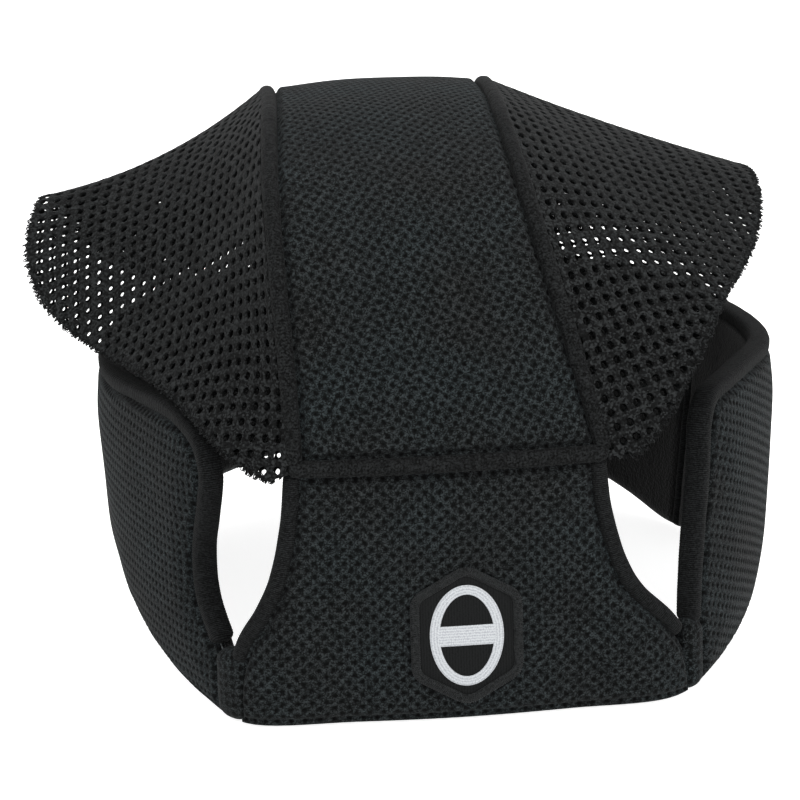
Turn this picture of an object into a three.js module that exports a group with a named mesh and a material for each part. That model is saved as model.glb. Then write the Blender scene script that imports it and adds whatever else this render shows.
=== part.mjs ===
// Padded comfort liner for riding headgear: a head ring of four pads, a crown strip over the head,
// and a mesh wing on each side of the strip. Every pad is a cover, a foam core and a lining.
// Millimetres, +Z up, the wearer's nape towards -Y. The liner stands on its lower edge at Z = 0.
import * as THREE from "three";
import { mergeVertices } from "three/addons/utils/BufferGeometryUtils.js";

// ---- Driving dimensions ----

const RIM = 63; // height of the head ring's upper edge over the forehead
const RING_STEP = 24; // distance round the ring between its plan points
const LEFT_SQUEEZE = 0.74; // the soft ring stands in on its left side, outboard of the nape pad
const NAPE_HALF = 48; // distance out to where that squeeze starts

const COVER = 1.1;
const LINING = 0.9;
const FOAM = 3.4;
const GAP = 0.3;
const PAD = COVER + FOAM + LINING + 2 * GAP;
const BAND_HEIGHT = 50; // about the height of the side and forehead bands
const CROWN_LENGTH = 240; // about the length of the crown strip
const UPRIGHT_CLEAR = 0.2; // what an upright tape stops short of the foot
const FOAM_INSET = 2; // the foam stops this far short of the sewn edges

const TAPE = 3.6; // width of the binding tape folded over an edge
const TAPE_PROUD = 0.4; // how far the tape stands out of the pad's two faces
const TAPE_CROWN = 0.7; // how much the tape rounds off towards its sides
const TEMPLE_TAPE = 2.4; // width of the tape over the seam at a temple
const PIPING_R = 1.9;
const PIPING_DEPTH = 1.1; // how far the piping's middle lies under the outer surface
const SEAM_PIPING_DEPTH = 0.6; // the same for the pipings across the ends of the crown strip
const SEAM_ROOM = 5.4; // what the piping takes out of the seam at an end of the crown strip

const WING = 2.6; // thickness of the spacer mesh
const WING_START = 3; // from the piping's middle to the wing's sewn edge

const BLACK_KNIT = { color: 0x26292a, roughness: 0.92, metalness: 0 };
const BLACK_PILE = { color: 0x0c0c0d, roughness: 1, metalness: 0 };
const GREY_FOAM = { color: 0x4b4b4d, roughness: 0.95, metalness: 0 };
const BLACK_TAPE = { color: 0x191b1c, roughness: 0.8, metalness: 0 };
const BLACK_MESH = { color: 0x2b2e30, roughness: 0.85, metalness: 0 };
const WHITE_PRINT = { color: 0xe6e8ea, roughness: 0.6, metalness: 0 };

// ---- Small helpers ----

const lerp = THREE.MathUtils.lerp;

function smoothCurve(points, closed = false) {
  return new THREE.CatmullRomCurve3(points, closed, "catmullrom", 0.5);
}

/** Smooth curve through rows of plain numbers, read back as one interpolated row. */
function profile(rows) {
  const columns = rows[0].length;
  const curves = [];
  for (let column = 0; column < columns; column++) {
    curves.push(smoothCurve(rows.map((row) => new THREE.Vector3(row[column], 0, 0))));
  }
  return (t) => curves.map((curve) => curve.getPoint(THREE.MathUtils.clamp(t, 0, 1)).x);
}

/** Unit normal of a surface (a, b) => Vector3, to the right-hand side of a then b. */
function normalAt(surface, a, b) {
  const step = 0.02;
  const alongA = surface(a + step, b).sub(surface(a - step, b));
  const alongB = surface(a, b + step).sub(surface(a, b - step));
  return alongA.cross(alongB).normalize();
}

function lifted(surface, a, b, height) {
  return surface(a, b).addScaledVector(normalAt(surface, a, b), height);
}

/**
 * Closed slab on a surface. The unit patch (u in -1..1, v in 0..1) is placed on the surface by
 * place(u, v) => [a, b]; the slab lies between the heights inner and outer over the surface, and
 * both faces round off by crown towards u = -1 and u = 1. Nothing reaches below the foot, Z = 0.
 */
function slab(surface, place, { outer, inner, across, along, crown = 0 }) {
  const geometry = new THREE.BoxGeometry(2, 1, 1, across, along, 1);
  geometry.deleteAttribute("normal");
  geometry.deleteAttribute("uv");
  const merged = mergeVertices(geometry);
  const position = merged.getAttribute("position");
  const middle = (outer + inner) / 2;
  for (let i = 0; i < position.count; i++) {
    const u = position.getX(i);
    const v = position.getY(i) + 0.5;
    const side = position.getZ(i) * 2;
    const half = (outer - inner) / 2 - crown * u * u;
    const [a, b] = place(u, v);
    const point = lifted(surface, a, b, middle + side * half);
    position.setXYZ(i, point.x, point.y, Math.max(point.z, 0));
  }
  merged.computeVertexNormals();
  return merged;
}

/** Round cord along a curve. */
function cord(points, radius, steps) {
  const section = new THREE.Shape();
  section.absarc(0, 0, radius, 0, 2 * Math.PI);
  return new THREE.ExtrudeGeometry(section, {
    steps,
    curveSegments: 5,
    bevelEnabled: false,
    extrudePath: smoothCurve(points),
  });
}

function mesh(name, geometry, look) {
  const piece = new THREE.Mesh(geometry, new THREE.MeshStandardMaterial(look));
  piece.name = name;
  return piece;
}

// ---- The head ring's outer surface ----

// Half of the ring in plan, from the nape round the right side to the forehead:
// x and y at the lower edge, then x and y at the rim.
const HALF_RING = [
  [0, -91, 0, -88.5],
  [24, -89.8, 24, -87.4],
  [48, -87, 48, -83],
  [62.5, -68.5, 63.5, -65],
  [74, -45, 75, -43],
  [80.5, -21, 84.5, -19.5],
  [82, 4, 87.5, 5],
  [78, 28, 84.5, 30],
  [69, 50, 75, 54],
  [53, 68.5, 58, 74],
  [28, 81, 31, 87],
  [0, 85, 0, 91.5],
];
const FOREHEAD = RING_STEP * (HALF_RING.length - 1); // from the nape's middle round to the forehead's

function squeezed(x) {
  return x < -NAPE_HALF ? -NAPE_HALF + (x + NAPE_HALF) * LEFT_SQUEEZE : x;
}

function ringCurve(column) {
  const right = HALF_RING.map((row) => new THREE.Vector3(row[column], row[column + 1], 0));
  const left = right.slice(1, -1).reverse().map((p) => new THREE.Vector3(squeezed(-p.x), p.y, 0));
  return smoothCurve([...right, ...left], true);
}
const lowerCurve = ringCurve(0);
const rimCurve = ringCurve(2);

/** Point on the ring, s millimetres round from the nape (positive to the right), z above the foot. */
function ring(s, z) {
  const turn = THREE.MathUtils.euclideanModulo(s / (2 * FOREHEAD), 1);
  const point = lowerCurve.getPoint(turn).lerp(rimCurve.getPoint(turn), z / RIM);
  return point.setZ(z);
}

// ---- The crown strip's outer surface ----

// From the nape seam over the head to the forehead seam: y, z, middle x and half width of the pad.
const CROWN = profile([
  [-88.4, 61.8, -1.8, 32],
  [-84.5, 80, -4.4, 29.9],
  [-75, 101, -7.3, 27.8],
  [-58, 117.5, -8.8, 26.1],
  [-34, 126.8, -8.5, 24.8],
  [-8, 128.5, -7.2, 24.4],
  [20, 125.5, -6, 24.5],
  [46, 115, -4.5, 25.5],
  [68, 100, -3.5, 27],
  [83, 85, -2.5, 28.5],
  [91, 70, -2, 30],
]);
const CROWN_BOW = 0.0018; // how far the strip falls away sideways, per square millimetre

/** Point on the strip, a millimetres to the right of its middle line, t from nape to forehead. */
function crown(a, t) {
  const [y, z, middle] = CROWN(t);
  const inside = THREE.MathUtils.clamp(t, 0.01, 0.99);
  const [y0, z0] = CROWN(inside - 0.01);
  const [y1, z1] = CROWN(inside + 0.01);
  const normal = new THREE.Vector3(0, z0 - z1, y1 - y0).normalize();
  return new THREE.Vector3(middle + a, y, z).addScaledVector(normal, -CROWN_BOW * a * a);
}

function crownHalf(t) {
  return CROWN(t)[3];
}

// ---- Padded panels: cover, foam and lining on one patch ----

/** The same patch with only its outermost points drawn in, so that its facets match its neighbours'. */
function inset(place, width, length) {
  const margin = FOAM_INSET / length;
  return (u, v) => {
    const inner = THREE.MathUtils.clamp(v, margin, 1 - margin);
    const reach = 1 - (2 * FOAM_INSET) / width(inner);
    return place(THREE.MathUtils.clamp(u, -reach, reach), inner);
  };
}

function paddedPanel(name, surface, place, { width, length, across, along }) {
  const grid = { across, along };
  const foamPlace = inset(place, width, length);
  const foamTop = -COVER - GAP;
  return [
    mesh(`${name}_cover`, slab(surface, place, { ...grid, outer: 0, inner: -COVER }), BLACK_KNIT),
    mesh(`${name}_foam`, slab(surface, foamPlace, { ...grid, outer: foamTop, inner: foamTop - FOAM }), GREY_FOAM),
    mesh(`${name}_lining`, slab(surface, place, { ...grid, outer: LINING - PAD, inner: -PAD }), BLACK_PILE),
  ];
}

function crownPanel() {
  return paddedPanel("crown", crown, (u, t) => [u * crownHalf(t), t], {
    width: (t) => 2 * crownHalf(t),
    length: CROWN_LENGTH,
    across: 5,
    along: 22,
  });
}

// The nape pad's height, half width and middle x, from its lower edge to the nape seam.
const NAPE_TOP = CROWN(0)[1] - SEAM_ROOM;
const NAPE = profile([
  [0, 52.4, 1.6],
  [10, 51, 0.7],
  [17, 46.6, -0.9],
  [24, 39.9, -2],
  [32, 35.6, -2.2],
  [44, 32.6, -2.4],
  [NAPE_TOP, 31.4, -2.4],
]);
const GAP_FLOOR = 15.8; // height of the strap gap's lower end

function napePoint(u, v) {
  const [z, half, middle] = NAPE(v);
  return [middle + u * half, z];
}

function napePanel() {
  return paddedPanel("nape", ring, napePoint, {
    width: (v) => 2 * NAPE(v)[1],
    length: NAPE_TOP,
    across: 20,
    along: 14,
  });
}

// ---- Side bands ----

const BAND_START = 61; // from the nape's middle round to the side band's near edge
const EDGE_START = 52.6; // where the heights of the lower and upper edges below begin
const TEMPLE = 174; // from the nape's middle round to the seam with the forehead band
const TEMPLE_HALF = 1.7; // half of the room for that seam's tape

// Height of the ring's lower edge from the side band's near edge round to the forehead's middle.
const LOWER_EDGE = profile([[0], [1], [4], [8.5], [10.5], [3.5], [0.5], [5], [11], [14], [15]]);
// Height of the band's upper edge, tape included, over the same stretch.
const UPPER_EDGE = profile([[66.5], [67.5], [67], [65.5], [64], [63], [RIM], [RIM], [RIM], [RIM], [RIM]]);

function edgeAt(edge, s) {
  return edge((s - EDGE_START) / (FOREHEAD - EDGE_START))[0];
}

/** How far a rounded corner takes the upper edge down, run millimetres in from the near edge. */
function cornerDrop(corner, run) {
  if (run >= corner.run) {
    return 0;
  }
  const out = 1 - run / corner.run;
  return corner.drop * (1 - Math.sqrt(1 - out * out));
}

// How far each side band's near edge leans away from the nape, at even heights from the foot to
// LEAN_HEIGHT; the lean dies away along the band.
const LEAN_HEIGHT = 60;
const LEAN_REACH = 50;
const LEAN = {
  left: profile([[0], [1], [10], [11], [7], [3]]),
  right: profile([[1], [0], [0.5], [2.5], [5], [6]]),
};
const SIDES = [
  { name: "left", sign: -1, corner: { run: 22, drop: 11 }, lean: LEAN.left },
  { name: "right", sign: 1, corner: { run: 6, drop: 6 }, lean: LEAN.right },
];

/** Distance along a side band: dense at the rounded corner, even beyond it. */
function bandStep(corner, u) {
  const share = 0.3;
  const t = (u + 1) / 2;
  if (t < share) {
    return BAND_START + corner.run * (1 - Math.cos((t / share) * (Math.PI / 2)));
  }
  return lerp(BAND_START + corner.run, TEMPLE - TEMPLE_HALF, (t - share) / (1 - share));
}

function bandTop(side, s) {
  return edgeAt(UPPER_EDGE, s) - TAPE - GAP - cornerDrop(side.corner, s - BAND_START);
}

/** Where a place on a side band lies on the ring, once the band's near edge leans away from the nape. */
function leaned(side, s, z) {
  const [lean] = side.lean(z / LEAN_HEIGHT);
  const left = THREE.MathUtils.clamp(1 - (s - BAND_START) / LEAN_REACH, 0, 1);
  return [side.sign * (s + lean * left * left), z];
}

function bandPanel(side) {
  // The patch runs the same way round on both sides, so that the slabs' faces point outwards.
  const place = (u, v) => {
    const s = bandStep(side.corner, side.sign * u);
    return leaned(side, s, lerp(edgeAt(LOWER_EDGE, s), bandTop(side, s), v));
  };
  return paddedPanel(`band_${side.name}`, ring, place, {
    width: () => TEMPLE - BAND_START,
    length: BAND_HEIGHT,
    across: 16,
    along: 12,
  });
}

/** The forehead band, from one temple to the other. Its ends lie under the temple tapes. */
function foreheadPanel() {
  const start = TEMPLE + TEMPLE_HALF;
  const place = (u, v) => {
    const s = FOREHEAD + u * (FOREHEAD - start);
    const near = FOREHEAD - Math.abs(s - FOREHEAD);
    return [s, lerp(edgeAt(LOWER_EDGE, near), edgeAt(UPPER_EDGE, near), v)];
  };
  return paddedPanel("forehead", ring, place, {
    width: () => 2 * (FOREHEAD - start),
    length: BAND_HEIGHT,
    across: 18,
    along: 4,
  });
}

// ---- Tapes and pipings ----

/** Tape on the ring along path(v) => [s, z]; its middle runs aside millimetres to the path's right. */
function tape(path, width, aside, along) {
  const place = (u, v) => {
    const [s, z] = path(v);
    const [s0, z0] = path(Math.max(v - 0.01, 0));
    const [s1, z1] = path(Math.min(v + 0.01, 1));
    const reach = (aside + (u * width) / 2) / Math.hypot(s1 - s0, z1 - z0);
    return [s + (z1 - z0) * reach, z - (s1 - s0) * reach];
  };
  return slab(ring, place, {
    outer: TAPE_PROUD,
    inner: -PAD - TAPE_PROUD,
    across: 2,
    along,
    crown: TAPE_CROWN,
  });
}

// Shares of the nape pad's edge where its binding starts, over the corner ridge, and ends, at the seam.
const NAPE_BOUND = [0.33, 0.995];

function napeBinding(side) {
  const path = (v) => napePoint(side.sign, lerp(...NAPE_BOUND, v));
  const aside = side.sign * (TAPE / 2 + GAP);
  return mesh(`nape_binding_${side.name}`, tape(path, TAPE, aside, 10), BLACK_TAPE);
}

/** The side band's free edge: up the near edge, round the corner and along the top. */
function bandEdge(side) {
  const points = [];
  const cornerFoot = bandTop(side, BAND_START);
  for (const share of [0, 0.33, 0.66]) {
    points.push(new THREE.Vector3(BAND_START, lerp(GAP_FLOOR + TAPE + 1, cornerFoot, share), 0));
  }
  const turns = 6;
  for (let i = 0; i <= turns; i++) {
    const s = BAND_START + side.corner.run * (1 - Math.cos((i / turns) * (Math.PI / 2)));
    points.push(new THREE.Vector3(s, bandTop(side, s), 0));
  }
  const last = TEMPLE - TEMPLE_HALF;
  const straights = 6;
  for (let i = 1; i <= straights; i++) {
    const s = lerp(BAND_START + side.corner.run, last, i / straights);
    points.push(new THREE.Vector3(s, bandTop(side, s), 0));
  }
  // The points are uneven, so the curve is centripetal: an even one would loop at the corner.
  return new THREE.CatmullRomCurve3(points, false, "centripetal");
}

function bandBinding(side) {
  const edge = bandEdge(side);
  const path = (v) => {
    const point = edge.getPoint(v);
    return leaned(side, point.x, point.y);
  };
  const aside = -side.sign * (TAPE / 2 + GAP);
  return mesh(`band_binding_${side.name}`, tape(path, TAPE, aside, 30), BLACK_TAPE);
}

/** Tape over an upright seam of the ring, s round from the nape, from z0 up to z1. */
function uprightTape(name, s, width, z0, z1) {
  const path = (v) => [s, lerp(z0, z1, v)];
  return mesh(name, tape(path, width, 0, 5), BLACK_TAPE);
}

/** The ridge where the nape pad is sewn to a side band, under the strap gap. */
function cornerTape(side) {
  const [napeEdge] = napePoint(side.sign, 0);
  const s = (napeEdge + side.sign * BAND_START) / 2;
  const width = BAND_START - Math.abs(napeEdge) - 2 * GAP;
  return uprightTape(`corner_tape_${side.name}`, s, width, UPRIGHT_CLEAR, GAP_FLOOR - TAPE / 2 - 1);
}

function templeTape(side) {
  const base = edgeAt(LOWER_EDGE, TEMPLE) + UPRIGHT_CLEAR;
  const top = edgeAt(UPPER_EDGE, TEMPLE);
  return uprightTape(`temple_tape_${side.name}`, side.sign * TEMPLE, TEMPLE_TAPE, base, top);
}

/** Piping along one side of the crown strip, out past the strip's edge. */
function crownPiping(side) {
  const points = [];
  const count = 18;
  for (let i = 0; i <= count; i++) {
    const t = lerp(0.004, 0.996, i / count);
    const a = side.sign * (crownHalf(t) + GAP + PIPING_R);
    points.push(lifted(crown, a, t, -PIPING_DEPTH));
  }
  return mesh(`crown_piping_${side.name}`, cord(points, PIPING_R, 44), BLACK_TAPE);
}

/** Piping across the end of the crown strip, in the seam to the ring. */
function crossPiping(name, t, ringTop) {
  const [, z, middle] = CROWN(t);
  const reach = crownHalf(t) + 2 * (GAP + PIPING_R);
  const points = [];
  const count = 6;
  for (let i = 0; i <= count; i++) {
    const a = lerp(-reach, reach, i / count);
    const upper = lifted(crown, a, t, -SEAM_PIPING_DEPTH);
    const atNape = t < 0.5;
    const s = atNape ? middle + a : FOREHEAD - middle - a;
    const lower = lifted(ring, s, ringTop, -SEAM_PIPING_DEPTH);
    points.push(upper.lerp(lower, 0.5).setZ((z + ringTop) / 2));
  }
  return mesh(name, cord(points, PIPING_R, 16), BLACK_TAPE);
}

// ---- Mesh wings ----

// The free edge of each wing, from the nape seam out round the flared tip to the forehead seam.
const WING_EDGES = {
  left: [
    [-45, -85, 61.5], [-51, -77, 67.5], [-60, -60, 71], [-69, -41, 72], [-78, -24, 73.5],
    [-88.5, -10, 80.5], [-92, 2, 91], [-88, 15, 100], [-81, 30, 94], [-74, 43, 80],
    [-64, 57, 71.5], [-52, 72, 69.5], [-42, 84, 70],
  ],
  right: [
    [40.5, -86.5, 63], [48, -84, 69.5], [56, -77, 79.5], [63.5, -66, 88.5], [69.5, -55, 92],
    [74.5, -44, 95], [79, -29, 100], [81, -12, 103.5], [81, 10, 101], [79, 33, 90],
    [69, 52, 81], [56, 66, 76.5], [44, 81, 71],
  ],
};

/** Surface of a wing: u from the piping (0) to the free edge (1), v from nape to forehead. */
function wingSurface(side) {
  const edge = smoothCurve(WING_EDGES[side.name].map((p) => new THREE.Vector3(...p)));
  return (u, v) => {
    // The left wing runs the other way round, so that its outer face is outside too.
    const along = THREE.MathUtils.clamp(side.sign > 0 ? v : 1 - v, 0, 1);
    const t = lerp(0.02, 0.98, along);
    const a = side.sign * (crownHalf(t) + GAP + PIPING_R + WING_START);
    const sewn = lifted(crown, a, t, -PIPING_DEPTH);
    return sewn.lerp(edge.getPoint(along), u);
  };
}

function wing(side) {
  const surface = wingSurface(side);
  const place = (u, v) => [(u + 1) / 2, lerp(0.001, 0.999, v)];
  const thickness = { outer: WING / 2, inner: -WING / 2 };
  return mesh(`wing_${side.name}`, slab(surface, place, { ...thickness, across: 6, along: 30 }), BLACK_MESH);
}

// ---- Badge on the nape pad ----

const BADGE = { middle: 0.5, z: 20.5, halfWidth: 12.3, halfHeight: 16.3, shoulder: 9 };
const BADGE_BASE = 0.5;
const BADGE_BORDER = 1.7;
// The emblem is an oval ring with a bar across its middle.
const EMBLEM = { halfWidth: 8.2, halfHeight: 11.6, line: 2.2, bar: 4.6, thickness: 0.35 };
const EMBLEM_STEPS = 14; // facets of each window's curved side

/** Long hexagon, pointed at the top and the foot. */
function hexagon(halfWidth, halfHeight, shoulder) {
  const path = new THREE.Path();
  path.moveTo(0, -halfHeight);
  path.lineTo(halfWidth, -shoulder);
  path.lineTo(halfWidth, shoulder);
  path.lineTo(0, halfHeight);
  path.lineTo(-halfWidth, shoulder);
  path.lineTo(-halfWidth, -shoulder);
  path.closePath();
  return path;
}

/** Flat plate of an outline with holes, wrapped onto the nape pad between two heights over it. */
function appliedPlate(name, outline, holes, lower, thickness, look) {
  const shape = new THREE.Shape(outline.getPoints(12));
  shape.holes = holes.map((hole) => new THREE.Path(hole.getPoints(12)));
  const geometry = new THREE.ExtrudeGeometry(shape, { depth: thickness, bevelEnabled: false, curveSegments: 12 });
  const position = geometry.getAttribute("position");
  for (let i = 0; i < position.count; i++) {
    const s = BADGE.middle + position.getX(i);
    const z = BADGE.z + position.getY(i);
    const point = lifted(ring, s, z, lower + position.getZ(i));
    position.setXYZ(i, point.x, point.y, point.z);
  }
  geometry.computeVertexNormals();
  return mesh(name, geometry, look);
}

/** Upright oval, as the emblem's outline and openings are. */
function oval(halfWidth, halfHeight) {
  return new THREE.Path().absellipse(0, 0, halfWidth, halfHeight, 0, 2 * Math.PI);
}

/** The emblem's window over (1) or under (-1) its bar: the half of an oval that the bar leaves. */
function emblemWindow(end) {
  const { halfWidth, halfHeight, line, bar } = EMBLEM;
  const inner = { x: halfWidth - line, y: halfHeight - line };
  const start = Math.asin(bar / 2 / inner.y);
  const path = new THREE.Path();
  for (let i = 0; i <= EMBLEM_STEPS; i++) {
    const turn = start + ((Math.PI - 2 * start) * i) / EMBLEM_STEPS;
    const [x, y] = [inner.x * Math.cos(turn), end * inner.y * Math.sin(turn)];
    if (i === 0) path.moveTo(x, y);
    else path.lineTo(x, y);
  }
  path.closePath();
  return path;
}

function badge() {
  const { halfWidth, halfHeight, shoulder } = BADGE;
  const outline = hexagon(halfWidth, halfHeight, shoulder);
  const clear = BADGE_BORDER + GAP;
  const inner = hexagon(halfWidth - clear, halfHeight - clear * 1.2, shoulder - 0.4);
  const opening = hexagon(halfWidth - BADGE_BORDER, halfHeight - BADGE_BORDER * 1.2, shoulder - 0.35);
  const outer = oval(EMBLEM.halfWidth, EMBLEM.halfHeight);
  const windows = [emblemWindow(1), emblemWindow(-1)];
  return [
    appliedPlate("badge_patch", inner, [], GAP, BADGE_BASE, BLACK_TAPE),
    appliedPlate("badge_border", outline, [opening], GAP, BADGE_BASE * 2, BLACK_TAPE),
    appliedPlate("badge_emblem", outer, windows, 2 * GAP + BADGE_BASE, EMBLEM.thickness, WHITE_PRINT),
  ];
}

// ---- The whole liner, with its origin in the middle of its foot ----

const liner = new THREE.Group();
liner.add(...crownPanel(), ...napePanel(), ...foreheadPanel());
for (const side of SIDES) {
  liner.add(...bandPanel(side));
  liner.add(napeBinding(side), bandBinding(side), cornerTape(side), templeTape(side));
  liner.add(crownPiping(side), wing(side));
}
liner.add(crossPiping("nape_seam_piping", 0, NAPE_TOP));
liner.add(crossPiping("forehead_seam_piping", 1, RIM));
liner.add(...badge());

const box = new THREE.Box3().setFromObject(liner, true);
const centre = box.getCenter(new THREE.Vector3());
liner.position.set(-centre.x, -centre.y, -box.min.z);
liner.updateMatrixWorld(true);

export default liner;
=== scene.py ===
"""Padded comfort liner for riding headgear: the finished look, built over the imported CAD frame.

All sizes are millimetres until a mesh is made, which turns them into metres. The surfaces repeat the
CAD's: a head ring of four pads, a crown strip over the head and a mesh wing on each side of the strip.
"""
import math

import bpy
import numpy as np
from mathutils import Matrix, Vector
from mathutils.bvhtree import BVHTree


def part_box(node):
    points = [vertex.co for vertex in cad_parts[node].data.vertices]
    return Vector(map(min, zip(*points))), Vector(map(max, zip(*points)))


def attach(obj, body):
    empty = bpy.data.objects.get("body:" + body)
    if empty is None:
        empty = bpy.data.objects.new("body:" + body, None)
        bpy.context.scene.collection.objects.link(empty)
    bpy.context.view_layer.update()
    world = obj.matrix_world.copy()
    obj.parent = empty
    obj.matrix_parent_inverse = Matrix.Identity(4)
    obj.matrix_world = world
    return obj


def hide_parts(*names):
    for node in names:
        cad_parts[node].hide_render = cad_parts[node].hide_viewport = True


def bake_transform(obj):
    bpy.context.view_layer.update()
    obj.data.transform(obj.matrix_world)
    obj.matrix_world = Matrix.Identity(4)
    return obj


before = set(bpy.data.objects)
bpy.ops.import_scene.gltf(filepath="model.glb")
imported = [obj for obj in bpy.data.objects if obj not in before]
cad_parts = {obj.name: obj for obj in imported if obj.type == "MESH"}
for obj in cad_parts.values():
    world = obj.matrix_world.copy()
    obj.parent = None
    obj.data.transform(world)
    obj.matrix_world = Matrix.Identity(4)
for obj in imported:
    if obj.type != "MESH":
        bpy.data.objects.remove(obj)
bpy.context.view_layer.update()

# ---- Sizes shared with the CAD ----

RIM = 63
RING_STEP = 24
LEFT_SQUEEZE = 0.74
NAPE_HALF = 48
COVER = 1.1
LINING = 0.9
PAD = 6.0
TAPE = 3.6
PIPING_R = 1.9
PIPING_DEPTH = 1.1
SEAM_PIPING_DEPTH = 0.6
GAP = 0.3
SEAM_ROOM = 5.4
WING = 2.6
BAND_START = 61
EDGE_START = 52.6
TEMPLE = 174
TEMPLE_HALF = 1.7
GAP_FLOOR = 15.8
CROWN_BOW = 0.0018

# ---- Sizes of the cloth ----

KNIT_PITCH = 2.15  # between neighbouring dimples of the knit
DIMPLE_DEPTH = 0.42
DIMPLE_RADIUS = 0.48
MESH_PITCH = 3.3  # between neighbouring holes of the spacer mesh
HOLE_R = 0.94
NAPE_PUFF = 1.4  # how far the nape pad's cover domes out over the foam
YARN_TIP = 0.45  # share of a yarn's thickness that is left at its ends
STRIDE = 6  # the underside of a cover has one point for every STRIDE of its face

rng = np.random.default_rng(7)

# ---- Curves and surfaces, as arrays of points ----


def unit(vectors):
    return vectors / np.maximum(np.linalg.norm(vectors, axis=-1, keepdims=True), 1e-9)


def pairs(x, y):
    """Points in the plane, from their two coordinates."""
    return np.stack(np.broadcast_arrays(x, y), axis=-1)


def distances(line):
    """How far along a line of points each of them is."""
    return np.concatenate([[0], np.cumsum(np.linalg.norm(np.diff(line, axis=0), axis=1))])


def spline(points, t, closed=False):
    """Uniform Catmull-Rom curve through points, read at t from 0 to 1."""
    p = np.asarray(points, float)
    t = np.asarray(t, float)
    if closed:
        padded = np.vstack([p[-1:], p, p[:2]])
        spans = len(p)
        x = np.mod(t, 1.0) * spans
    else:
        padded = np.vstack([2 * p[0] - p[1], p, 2 * p[-1] - p[-2]])
        spans = len(p) - 1
        x = np.clip(t, 0, 1) * spans
    i = np.minimum(x.astype(int), spans - 1)
    f = (x - i)[..., None]
    a, b, c, d = padded[i], padded[i + 1], padded[i + 2], padded[i + 3]
    return 0.5 * (2 * b + (c - a) * f + (2 * a - 5 * b + 4 * c - d) * f**2 + (3 * b - a - 3 * c + d) * f**3)


# Half of the ring in plan, from the nape round the right side to the forehead:
# x and y at the lower edge, then x and y at the rim.
HALF_RING = np.array([
    [0, -91, 0, -88.5],
    [24, -89.8, 24, -87.4],
    [48, -87, 48, -83],
    [62.5, -68.5, 63.5, -65],
    [74, -45, 75, -43],
    [80.5, -21, 84.5, -19.5],
    [82, 4, 87.5, 5],
    [78, 28, 84.5, 30],
    [69, 50, 75, 54],
    [53, 68.5, 58, 74],
    [28, 81, 31, 87],
    [0, 85, 0, 91.5],
])
FOREHEAD = RING_STEP * (len(HALF_RING) - 1)


def whole_ring(half):
    left = half[1:-1][::-1] * [-1, 1]
    squeezed = -NAPE_HALF + (left[:, 0] + NAPE_HALF) * LEFT_SQUEEZE
    left[:, 0] = np.where(left[:, 0] < -NAPE_HALF, squeezed, left[:, 0])
    return np.vstack([half, left])


LOWER_PLAN = whole_ring(HALF_RING[:, :2])
RIM_PLAN = whole_ring(HALF_RING[:, 2:])


def ring(s, z):
    """Points on the head ring, s round from the nape (positive to the right), z above the foot."""
    s, z = np.broadcast_arrays(np.asarray(s, float), np.asarray(z, float))
    turn = s / (2 * FOREHEAD)
    lower = spline(LOWER_PLAN, turn, closed=True)
    rim = spline(RIM_PLAN, turn, closed=True)
    plan = lower + (rim - lower) * (z / RIM)[..., None]
    return np.concatenate([plan, z[..., None]], axis=-1)


# From the nape seam over the head to the forehead seam: y, z, middle x and half width of the strip.
CROWN = [
    [-88.4, 61.8, -1.8, 32],
    [-84.5, 80, -4.4, 29.9],
    [-75, 101, -7.3, 27.8],
    [-58, 117.5, -8.8, 26.1],
    [-34, 126.8, -8.5, 24.8],
    [-8, 128.5, -7.2, 24.4],
    [20, 125.5, -6, 24.5],
    [46, 115, -4.5, 25.5],
    [68, 100, -3.5, 27],
    [83, 85, -2.5, 28.5],
    [91, 70, -2, 30],
]


def crown(a, t):
    """Points on the crown strip, a to the right of its middle line, t from nape (0) to forehead (1)."""
    a, t = np.broadcast_arrays(np.asarray(a, float), np.asarray(t, float))
    y, z, middle, _ = np.moveaxis(spline(CROWN, t), -1, 0)
    inside = np.clip(t, 0.01, 0.99)
    slope = spline(CROWN, inside + 0.01) - spline(CROWN, inside - 0.01)
    length = np.hypot(slope[..., 0], slope[..., 1])
    sag = CROWN_BOW * a**2
    tilt_y, tilt_z = sag * slope[..., 1] / length, sag * slope[..., 0] / length
    return np.stack([middle + a, y + tilt_y, z - tilt_z], axis=-1)


FINE_T = np.linspace(0, 1, 1201)
FINE_DISTANCE = distances(crown(0, FINE_T))
STRIP_LENGTH = FINE_DISTANCE[-1]
STRIP_ENDS = [unit(crown(0, 0.004) - crown(0, 0)), unit(crown(0, 1) - crown(0, 0.996))]


def strip(a, d):
    """Points on the crown strip by the distance d from the nape seam; it runs on straight past both ends."""
    a, d = np.broadcast_arrays(np.asarray(a, float), np.asarray(d, float))
    points = crown(a, np.interp(d, FINE_DISTANCE, FINE_T))
    before = np.minimum(d, 0)[..., None] * STRIP_ENDS[0]
    beyond = np.maximum(d - STRIP_LENGTH, 0)[..., None] * STRIP_ENDS[1]
    return points + before + beyond


def strip_half(d):
    return spline(CROWN, np.interp(d, FINE_DISTANCE, FINE_T))[..., 3]


NAPE_TOP = CROWN[0][1] - SEAM_ROOM
# The nape pad's height, half width and middle x, from its lower edge to the nape seam.
NAPE = [
    [0, 52.4, 1.6],
    [10, 51, 0.7],
    [17, 46.6, -0.9],
    [24, 39.9, -2],
    [32, 35.6, -2.2],
    [44, 32.6, -2.4],
    [NAPE_TOP, 31.4, -2.4],
]
# Heights of the ring's lower and upper edges from the side band's near edge to the forehead's middle.
LOWER_EDGE = [[0], [1], [4], [8.5], [10.5], [3.5], [0.5], [5], [11], [14], [15]]
UPPER_EDGE = [[66.5], [67.5], [67], [65.5], [64], [63], [RIM], [RIM], [RIM], [RIM], [RIM]]


def edge_height(edge, s):
    return spline(edge, (s - EDGE_START) / (FOREHEAD - EDGE_START))[..., 0]


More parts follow.
